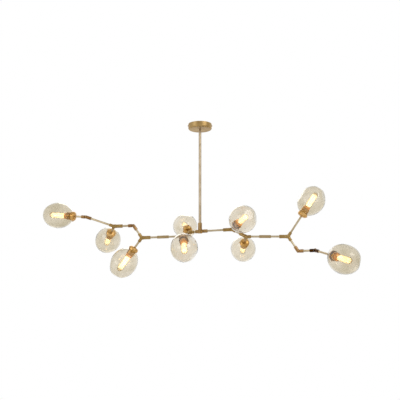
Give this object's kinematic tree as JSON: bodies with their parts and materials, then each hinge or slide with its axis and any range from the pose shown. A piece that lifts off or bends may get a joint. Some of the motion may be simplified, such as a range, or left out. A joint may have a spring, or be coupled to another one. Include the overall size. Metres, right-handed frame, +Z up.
{
  "type": "branching bubble chandelier",
  "caption": "Branching bubble chandelier: a ceiling canopy and drop rod carry jointed brass arms that end in pressed clear glass globes, each round a lit tubular bulb.",
  "frame": {"origin": "middle of the mounting bar's ceiling face, between its two bolt slots", "axes": "+Z up, out of the ceiling face; +X to the right in the picture's view, along the length; +Y away from the viewer"},
  "size_m": [1.4449, 0.6106, 0.7747],
  "materials": {
    "canopy_brass": "satin",
    "rod_brass": "brushed",
    "tube_brass": "polished",
    "joint_brass": "satin",
    "cup_brass": "satin",
    "screw_brass": "satin",
    "plated_steel": "zinc plated",
    "terminal_block": "matte",
    "lampholder": "matte",
    "bulb_glass": "amber, lit",
    "shade_glass": "clear, faint grey tint"
  },
  "bodies": {
    "ceiling_mount": {"canopy": "canopy_brass", "mounting_bar": "plated_steel", "canopy_screws": "screw_brass", "terminal_block": "terminal_block", "swivel_stud": "plated_steel", "stud_locknut": "plated_steel"},
    "stem": {"drop_rod": "rod_brass", "hub": "joint_brass", "left_inner_yokes": "joint_brass", "right_inner_yokes": "joint_brass", "inner_arm_tubes": "tube_brass", "bar_couplings": "joint_brass", "shade_4": "shade_glass", "shade_5": "shade_glass", "shade_6": "shade_glass", "shade_7": "shade_glass", "inner_cups": "cup_brass", "inner_lampholders": "lampholder", "inner_bulbs": "bulb_glass"},
    "left_branch": {"left_branch_tubes": "tube_brass", "left_yoke": "joint_brass", "left_elbow_fork": "joint_brass", "left_elbow_screw": "screw_brass", "shade_3": "shade_glass", "cup_3": "cup_brass", "lampholder_3": "lampholder", "bulb_3": "bulb_glass"},
    "left_arm": {"left_elbow_tongue": "joint_brass", "left_arm_tubes": "tube_brass", "left_arm_yoke": "joint_brass", "left_tip_fork": "joint_brass", "left_tip_screw": "screw_brass", "shade_2": "shade_glass", "cup_2": "cup_brass", "lampholder_2": "lampholder", "bulb_2": "bulb_glass"},
    "left_tip": {"left_tip_tongue": "joint_brass", "left_tip_tube": "tube_brass", "shade_1": "shade_glass", "cup_1": "cup_brass", "lampholder_1": "lampholder", "bulb_1": "bulb_glass"},
    "right_branch": {"right_branch_tubes": "tube_brass", "right_yoke": "joint_brass", "right_elbow_fork": "joint_brass", "right_elbow_screw": "screw_brass", "shade_8": "shade_glass", "cup_8": "cup_brass", "lampholder_8": "lampholder", "bulb_8": "bulb_glass"},
    "right_arm": {"right_elbow_tongue": "joint_brass", "right_arm_tube": "tube_brass", "right_tip_fork": "joint_brass", "right_tip_screw": "screw_brass"},
    "right_tip": {"right_tip_tongue": "joint_brass", "right_tip_tube": "tube_brass", "shade_9": "shade_glass", "cup_9": "cup_brass", "lampholder_9": "lampholder", "bulb_9": "bulb_glass"}
  },
  "joints": [
    {"name": "stem_turn", "type": "hinge", "parent": "ceiling_mount", "child": "stem", "pos_m": [0, 0, -0.042], "axis": [0, 0, 1], "range_deg": [-170, 170]},
    {"name": "left_twist", "type": "hinge", "parent": "stem", "child": "left_branch", "pos_m": [-0.17945, -0.05482, -0.57848], "axis": [-0.998, 0.0523, -0.0349], "range_deg": [-60, 60]},
    {"name": "right_twist", "type": "hinge", "parent": "stem", "child": "right_branch", "pos_m": [0.31219, -0.07246, -0.5772], "axis": [0.9994, -0.0349, 0], "range_deg": [-60, 60]},
    {"name": "left_elbow", "type": "hinge", "parent": "left_branch", "child": "left_arm", "pos_m": [-0.32354, -0.05015, -0.52309], "axis": [0.0004, -0.9999, -0.0119], "range_deg": [-40, 8]},
    {"name": "left_tip", "type": "hinge", "parent": "left_arm", "child": "left_tip", "pos_m": [-0.56175, -0.0197, -0.47882], "axis": [-0.116, -0.9576, 0.2637], "range_deg": [-40, 40]},
    {"name": "right_elbow", "type": "hinge", "parent": "right_branch", "child": "right_arm", "pos_m": [0.46511, -0.09026, -0.64681], "axis": [-0.5193, -0.841, -0.1519], "range_deg": [-60, 25]},
    {"name": "right_tip", "type": "hinge", "parent": "right_arm", "child": "right_tip", "pos_m": [0.53546, -0.13422, -0.64392], "axis": [0.1846, 0.2325, -0.9549], "range_deg": [-40, 40]}
  ]
}
